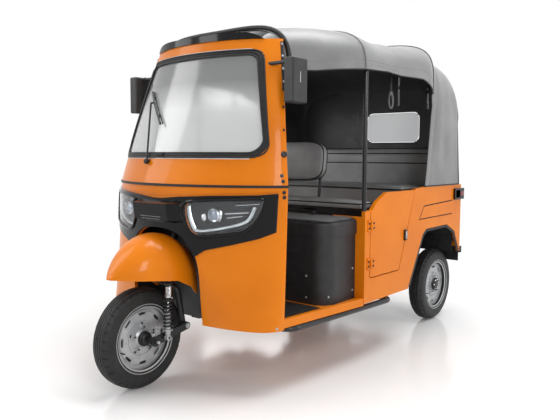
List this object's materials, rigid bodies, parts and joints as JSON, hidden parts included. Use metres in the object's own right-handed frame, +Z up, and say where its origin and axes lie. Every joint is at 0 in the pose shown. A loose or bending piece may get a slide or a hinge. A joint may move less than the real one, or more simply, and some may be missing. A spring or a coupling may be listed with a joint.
{
  "type": "auto rickshaw",
  "caption": "Three-wheeled passenger vehicle with an open cabin, fabric roof, half doors, a bench at the back and a handlebar-steered front wheel.",
  "frame": {"origin": "on the ground, in the middle of the vehicle's length and width", "axes": "+Z up, -Y forwards, +X to the vehicle's left"},
  "size_m": [1.4719, 2.615, 1.8328],
  "materials": {
    "tyre": "matt tread rubber",
    "wheel_silver": "silver wheel paint",
    "black_metal": "satin black paint",
    "orange_paint": "gloss orange paint",
    "black_rubber": "matt",
    "clear_glass": "clear",
    "gloss_black": "high gloss",
    "lamp_glass": "clear",
    "black_plastic": "grained",
    "seat_vinyl": "grey vinyl",
    "canopy_fabric": "coated canvas",
    "clear_film": "clear film",
    "engine_alloy": "cast",
    "lamp_red": "red lens"
  },
  "bodies": {
    "chassis": {"bench_base": "black_metal", "body_sides": "orange_paint", "bulkhead": "orange_paint", "canopy_hood": "canopy_fabric", "canopy_roof": "canopy_fabric", "chassis_frame": "black_metal", "dashboard": "black_plastic", "door_hinges": "black_metal", "driver_backrest": "seat_vinyl", "driver_cushion": "seat_vinyl", "driver_seat_frame": "black_metal", "engine_block": "engine_alloy", "floor_mat": "black_rubber", "floor_pan": "orange_paint", "front_cowl": "orange_paint", "front_fascia": "gloss_black", "front_wheel_well": "black_metal", "head_frame": "black_metal", "headlamps": "lamp_glass", "lamp_housings": "black_plastic", "mirrors": "black_plastic", "mud_flaps": "black_rubber", "passenger_backrest": "seat_vinyl", "passenger_cushion": "seat_vinyl", "rear_bumper": "black_metal", "rear_panel": "orange_paint", "rear_swing_arms": "black_metal", "rear_window": "clear_film", "roof_frame": "black_metal", "roof_header": "black_plastic", "running_tubes": "black_metal", "seat_box": "black_plastic", "seat_box_lid": "black_plastic", "tail_lamps": "lamp_red", "tow_bar": "black_metal", "waist_bead": "black_rubber", "wheel_arch_liners": "black_metal", "windscreen_gasket": "black_rubber", "windscreen_glass": "clear_glass", "windscreen_surround": "orange_paint", "wiper": "black_metal"},
    "steering": {"steering_column": "black_metal", "handlebar": "black_metal", "front_fork": "black_metal", "front_link": "black_metal", "front_strut": "black_metal", "front_mudguard": "orange_paint"},
    "front_wheel": {"front_tyre": "tyre", "front_rim": "wheel_silver"},
    "rear_left_wheel": {"rear_left_tyre": "tyre", "rear_left_rim": "wheel_silver"},
    "rear_right_wheel": {"rear_right_tyre": "tyre", "rear_right_rim": "wheel_silver"},
    "left_door": {"door_left": "orange_paint"},
    "right_door": {"door_right": "orange_paint"},
    "rear_lid": {"engine_lid": "orange_paint"}
  },
  "joints": [
    {"name": "steering_turn", "type": "hinge", "parent": "chassis", "child": "steering", "pos_m": [0, -1.12, 0], "axis": [0, 0.3746, 0.9272], "range_deg": [-38, 38]},
    {"name": "front_wheel_spin", "type": "hinge", "parent": "steering", "child": "front_wheel", "pos_m": [0, -1.0625, 0.245], "axis": [1, 0, 0], "continuous": true},
    {"name": "rear_left_wheel_spin", "type": "hinge", "parent": "chassis", "child": "rear_left_wheel", "pos_m": [0.52, 1.0625, 0.245], "axis": [1, 0, 0], "continuous": true},
    {"name": "rear_right_wheel_spin", "type": "hinge", "parent": "chassis", "child": "rear_right_wheel", "pos_m": [-0.52, 1.0625, 0.245], "axis": [1, 0, 0], "continuous": true},
    {"name": "left_door_swing", "type": "hinge", "parent": "chassis", "child": "left_door", "pos_m": [0.668, -0.003, 0.7], "axis": [0, 0, -1], "range_deg": [0, 80]},
    {"name": "right_door_swing", "type": "hinge", "parent": "chassis", "child": "right_door", "pos_m": [-0.668, -0.003, 0.7], "axis": [0, 0, 1], "range_deg": [0, 80]},
    {"name": "engine_lid_lift", "type": "hinge", "parent": "chassis", "child": "rear_lid", "pos_m": [0, 1.236, 0.853], "axis": [1, 0, 0], "range_deg": [0, 85]}
  ]
}
